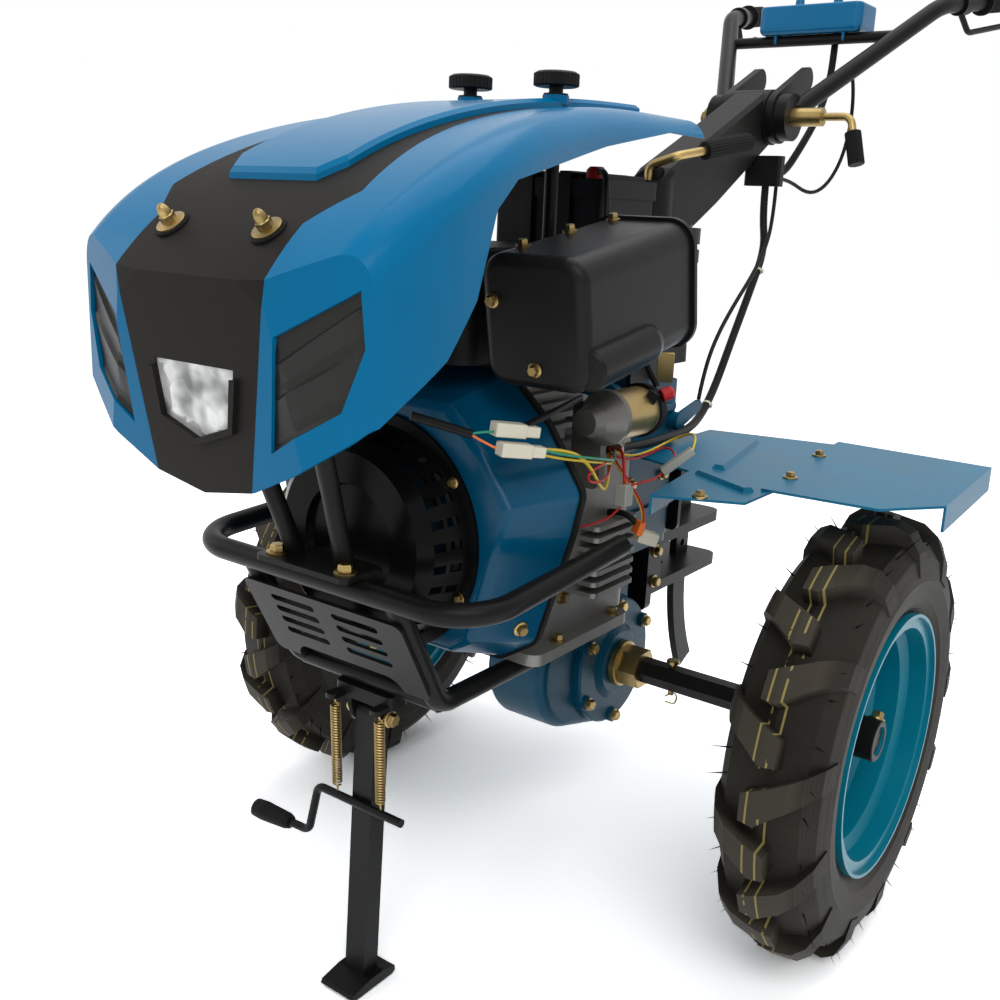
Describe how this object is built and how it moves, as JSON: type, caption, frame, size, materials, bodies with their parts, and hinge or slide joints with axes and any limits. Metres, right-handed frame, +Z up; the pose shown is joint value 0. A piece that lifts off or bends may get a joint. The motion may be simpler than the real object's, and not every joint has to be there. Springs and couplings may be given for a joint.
{
  "type": "walking tractor",
  "caption": "Two-wheel walking tractor with a hooded air-cooled engine in front, lugged tyres on hex axle bars, a fold-up front stand and a swivelling, tilting handlebar.",
  "frame": {"origin": "bottom centre of the bounding box, on the ground", "axes": "-Y is the way it drives, +X is the machine's left, +Z is up"},
  "size_m": [0.996, 1.654, 1.3241],
  "materials": {
    "tyre": "moulded black rubber",
    "rim_blue": "gloss teal-blue paint",
    "axle_black": "black paint on hex steel",
    "zinc_gold": "yellow zinc plate",
    "casting_blue": "blue paint on a casting",
    "engine_alloy": "cast alloy",
    "shroud_blue": "gloss blue paint on pressed steel",
    "gasket_black": "matt black",
    "recoil_black": "satin black",
    "muffler_black": "heat-proof satin black",
    "starter_silver": "plated steel",
    "tank_black": "matt black",
    "cleaner_black": "matt black",
    "battery_black": "moulded black",
    "frame_black": "black powder coat",
    "grip_rubber": "ribbed black rubber",
    "fender_blue": "satin blue paint on sheet",
    "casting_black": "black paint on a casting",
    "panel_blue": "gloss blue moulding",
    "hood_blue": "gloss blue",
    "hood_black": "matt brown-black",
    "vent_black": "matt black",
    "lamp_lens": "clear moulded lens",
    "cable_black": "black sheath",
    "wire_yellow": "coloured insulation",
    "knob_black": "knurled black"
  },
  "bodies": {
    "chassis": {"final_drive": "casting_blue", "gearbox": "casting_blue", "crankcase": "engine_alloy", "cylinder": "engine_alloy", "fan_shroud": "shroud_blue", "shroud_gasket": "gasket_black", "recoil_starter": "recoil_black", "muffler": "muffler_black", "muffler_outlet": "muffler_black", "exhaust_pipe": "muffler_black", "starter_motor": "starter_silver", "fuel_tank": "tank_black", "air_cleaner": "cleaner_black", "battery_tray": "frame_black", "battery": "battery_black", "bumper_tube": "frame_black", "lower_frame": "frame_black", "bumper_plate": "frame_black", "hood_struts": "frame_black", "stand_bracket": "frame_black", "fender_left": "fender_blue", "fender_right": "fender_blue", "fender_extension_left": "fender_blue", "fender_extension_right": "fender_blue", "fender_frame": "frame_black", "hitch": "frame_black", "depth_stake": "frame_black", "column_base": "casting_black", "hood_top": "hood_blue", "hood_centre": "hood_black", "hood_side_left": "hood_blue", "hood_side_right": "hood_blue", "hood_vent_left": "vent_black", "hood_vent_right": "vent_black", "headlamp": "lamp_lens", "hood_knobs": "knob_black", "hood_stays": "frame_black", "lower_cables": "cable_black", "engine_wires": "wire_yellow"},
    "wheel_left": {"tyre_left": "tyre", "rim_left": "rim_blue", "axle_left": "axle_black", "socket_left": "zinc_gold"},
    "wheel_right": {"tyre_right": "tyre", "rim_right": "rim_blue", "axle_right": "axle_black", "socket_right": "zinc_gold"},
    "stand": {"stand_leg": "frame_black", "stand_lever": "frame_black", "stand_grip": "grip_rubber", "stand_springs": "zinc_gold"},
    "column": {"handle_column": "casting_black", "swivel_lever": "zinc_gold"},
    "handlebar": {"handlebar_left": "frame_black", "handlebar_right": "frame_black", "tilt_lever": "zinc_gold", "control_panel": "panel_blue", "handle_crossbar": "frame_black", "grips": "grip_rubber", "upper_cables": "cable_black"}
  },
  "joints": [
    {"name": "wheel_left_spin", "type": "hinge", "parent": "chassis", "child": "wheel_left", "pos_m": [0.4, -0.134, 0.285], "axis": [1, 0, 0], "continuous": true},
    {"name": "wheel_right_spin", "type": "hinge", "parent": "chassis", "child": "wheel_right", "pos_m": [-0.4, -0.134, 0.285], "axis": [1, 0, 0], "continuous": true},
    {"name": "stand_fold", "type": "hinge", "parent": "chassis", "child": "stand", "pos_m": [0, -0.581, 0.345], "axis": [1, 0, 0], "range_deg": [0, 60], "deforming": ["stand_springs"]},
    {"name": "handle_swivel", "type": "hinge", "parent": "chassis", "child": "column", "pos_m": [0, -0.003, 0.872], "axis": [0, 0, 1], "range_deg": [-30, 30], "deforming": ["lower_cables"]},
    {"name": "handle_tilt", "type": "hinge", "parent": "column", "child": "handlebar", "pos_m": [0, 0.296, 1.066], "axis": [1, 0, 0], "range_deg": [-20, 20], "deforming": ["upper_cables"]}
  ]
}
